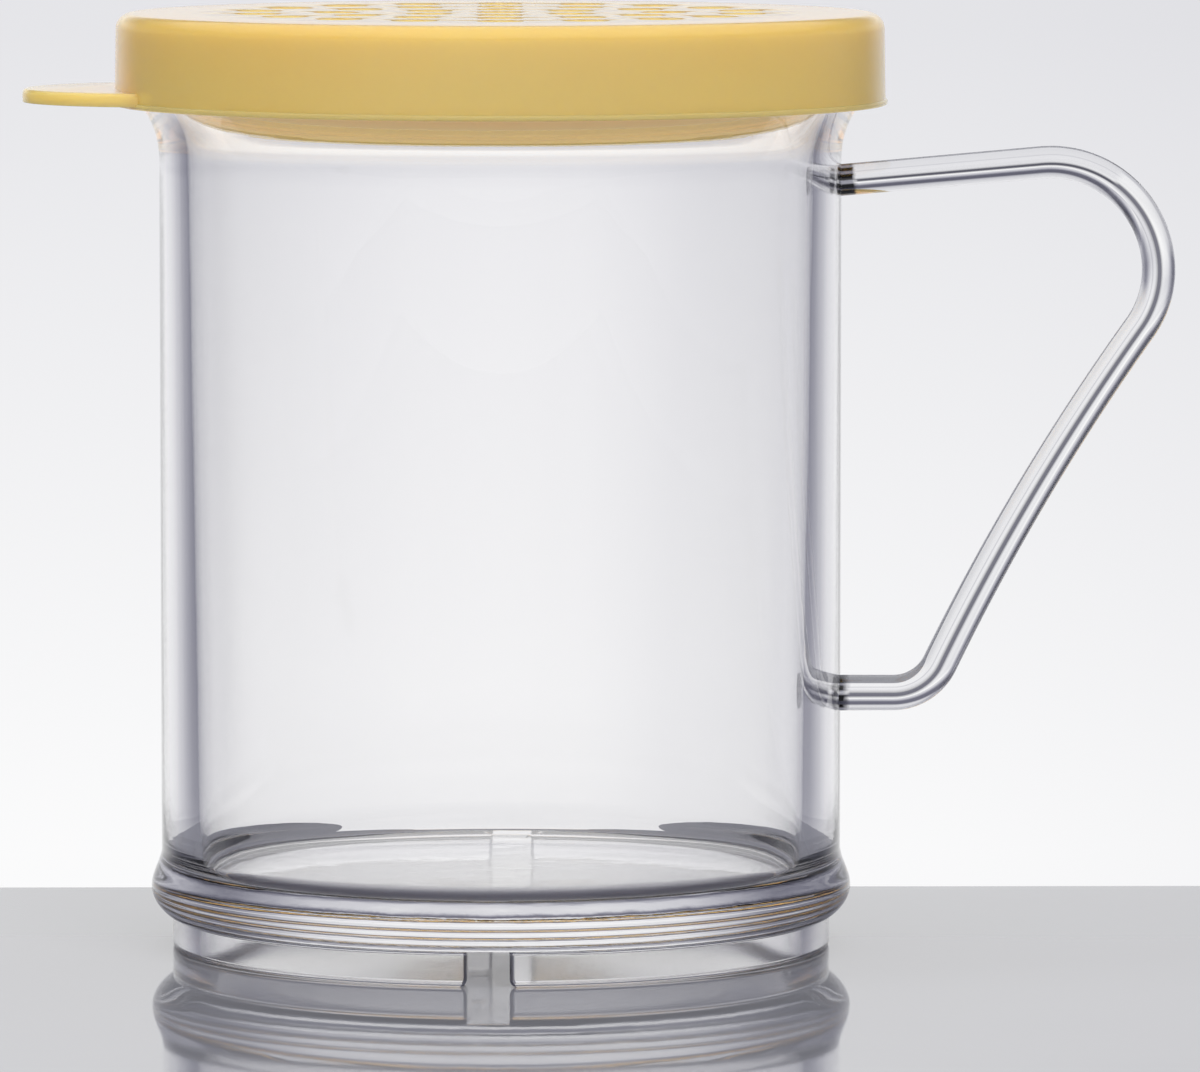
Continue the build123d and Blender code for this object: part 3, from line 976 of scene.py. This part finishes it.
def grey_acrylic():
    """Two close greys in soft clouds, and a gloss that varies where the slab was wiped."""
    material, tree, shader = new_finish("grey_acrylic")
    shader.inputs["IOR"].default_value = ACRYLIC_INDEX
    place = tree.nodes.new("ShaderNodeTexCoord").outputs["Object"]
    greys = mix_colours(tree, noise(tree, place, HAZE_CLOUDS), DARK_ACRYLIC, PALE_ACRYLIC)
    tree.links.new(greys, shader.inputs["Base Color"])
    wiped = tone_profile(tree, noise(tree, place, WIPE_CLOUDS), WIPED_ROUGHNESS)
    tree.links.new(wiped, shader.inputs["Roughness"])
    return material


table = mesh_piece("table", [table_slab()])
dress(table, grey_acrylic())

# %% [markdown]
# The surroundings matter more than the lamps, because a clear cup only shows what lies behind and beside it.
# Straight behind it is a pale screen that is brightest low down. The screen ends about thirty degrees to
# either side, and the dimmer studio past its ends draws the soft dark lines along the walls. Overhead it is
# pale again. Panels could stand in for all this, but tones by direction are exact and cost no time.

# %% Studio surroundings
DUSK = 0.86
SCREEN_TONES = [
    (-90, 0.86), (-12, 0.93), (-7.1, 0.965), (-6.0, 0.93), (-4.8, 0.888), (-3.6, 0.847), (-1.8, 0.775),
    (-0.5, 0.79), (2, 0.87), (5.5, 0.86), (7.2, 1.03), (8.6, 1.05), (9.3, 0.78), (12, 0.66), (15, 0.35),
    (18, 0.16), (26, 0.16), (32, 0.8), (60, 0.92), (90, 0.9),
]
SIDE_TONES = [
    (-180, 1.0), (-150, 0.95), (-125, 0.6), (-90, 0.18), (-62, 0.15), (-42, 0.24), (-38, 0.34), (-31, 0.6),
    (-24, 0.89), (-12, 1.02), (-4, 1.0), (2.4, 1.0), (3.6, 0.955), (12, 0.98), (24, 0.85), (31, 0.57),
    (38, 0.34), (42, 0.26), (50, 0.26), (60, 0.42), (95, 0.42), (125, 0.65), (150, 0.95), (180, 1.0),
]
SIDES_COUNT = [(-90, 0.0), (-30, 0.1), (-14, 0.4), (-8, 1.0), (22, 1.0), (40, 0.5), (60, 0.0), (90, 0.0)]


def studio_world():
    """Tones by direction. The screen's tone goes by the height above the horizon, the sides' tone by the
    angle to the side of straight back, both in degrees, and at each height the sides count for a share."""
    world = bpy.data.worlds.new("studio")
    world.use_nodes = True
    tree = world.node_tree
    background = tree.nodes["Background"]
    x, y, z = axes(tree, tree.nodes.new("ShaderNodeTexCoord").outputs["Generated"])
    side = math_node(tree, "DEGREES", math_node(tree, "ARCTAN2", x, y))
    height = math_node(tree, "DEGREES", math_node(tree, "ARCSINE", z))
    screen = tone_profile(tree, height, SCREEN_TONES, DUSK)
    sides = tone_profile(tree, side, SIDE_TONES, DUSK)
    share = tone_profile(tree, height, SIDES_COUNT)
    tree.links.new(mix_colours(tree, share, screen, sides, "MULTIPLY"), background.inputs["Color"])
    background.inputs["Strength"].default_value = 1.0
    print(world.name, "of", len(tree.nodes), "nodes")
    return world


bpy.context.scene.world = studio_world()

# %% [markdown]
# The clear pieces need no lamps, but the lid and the table do. A large softbox in front gives the even light
# on the skirt, one on the left brightens its left end, and a weak one above lifts the top's edge. They don't
# show in the plastic or in reflections, where their outlines would be taken for parts of the studio.

# %% Lamps
LID_MIDDLE = (0, 0, 0.09)
CUP_MIDDLE = (0, 0, 0.08)
# Name, place, what it is aimed at, width and height in metres, and power in watts.
SOFTBOXES = [
    ("front_softbox", (0.47, -1.1, 0.52), CUP_MIDDLE, 0.8, 0.5, 7.8),
    ("top_softbox", (0.05, 0.1, 0.75), LID_MIDDLE, 0.5, 0.5, 0.5),
    ("left_rim_softbox", (-0.9, -0.2, 0.4), LID_MIDDLE, 0.4, 0.6, 3.2),
]


def softbox(name, place, aim, width, height, power):
    """A rectangular lamp at a place, turned so that it shines at the aim."""
    data = bpy.data.lights.new(name, "AREA")
    data.shape = "RECTANGLE"
    data.size = width
    data.size_y = height
    data.energy = power
    lamp = bpy.data.objects.new(name, data)
    bpy.context.scene.collection.objects.link(lamp)
    lamp.location = place
    lamp.rotation_mode = "QUATERNION"
    lamp.rotation_quaternion = (Vector(aim) - Vector(place)).to_track_quat("-Z", "Y")
    lamp.visible_glossy = False
    lamp.visible_transmission = False
    print(name, power, "W")


for details in SOFTBOXES:
    softbox(*details)

# %% [markdown]
# The camera stands a metre away and looks slightly down, through a long lens. Its place, pitch and yaw were
# worked out from the ellipses of the rim, flange and foot in the photograph. Light has to pass many surfaces
# of clear plastic, so it may bounce more often than usual.

# %% Camera
CAMERA_DISTANCE = 1.0046
CAMERA_HEIGHT = 0.13397
LENS = 286.4
SENSOR_WIDTH = 36
PITCH = radians(5.156)
YAW = radians(-0.598)
PLASTIC_BOUNCES = 24
GLOSS_BOUNCES = 8

camera_data = bpy.data.cameras.new("camera")
camera_data.lens = LENS
camera_data.sensor_width = SENSOR_WIDTH
camera = bpy.data.objects.new("camera", camera_data)
camera.location = (0, -CAMERA_DISTANCE, CAMERA_HEIGHT)
camera.rotation_euler = (pi / 2 - PITCH, 0, YAW)

scene = bpy.context.scene
scene.collection.objects.link(camera)
scene.camera = camera
scene.view_settings.view_transform = "Standard"
scene.cycles.max_bounces = PLASTIC_BOUNCES
scene.cycles.transmission_bounces = PLASTIC_BOUNCES
scene.cycles.glossy_bounces = GLOSS_BOUNCES
print("camera", CAMERA_DISTANCE, "m away, lens", LENS, "mm")
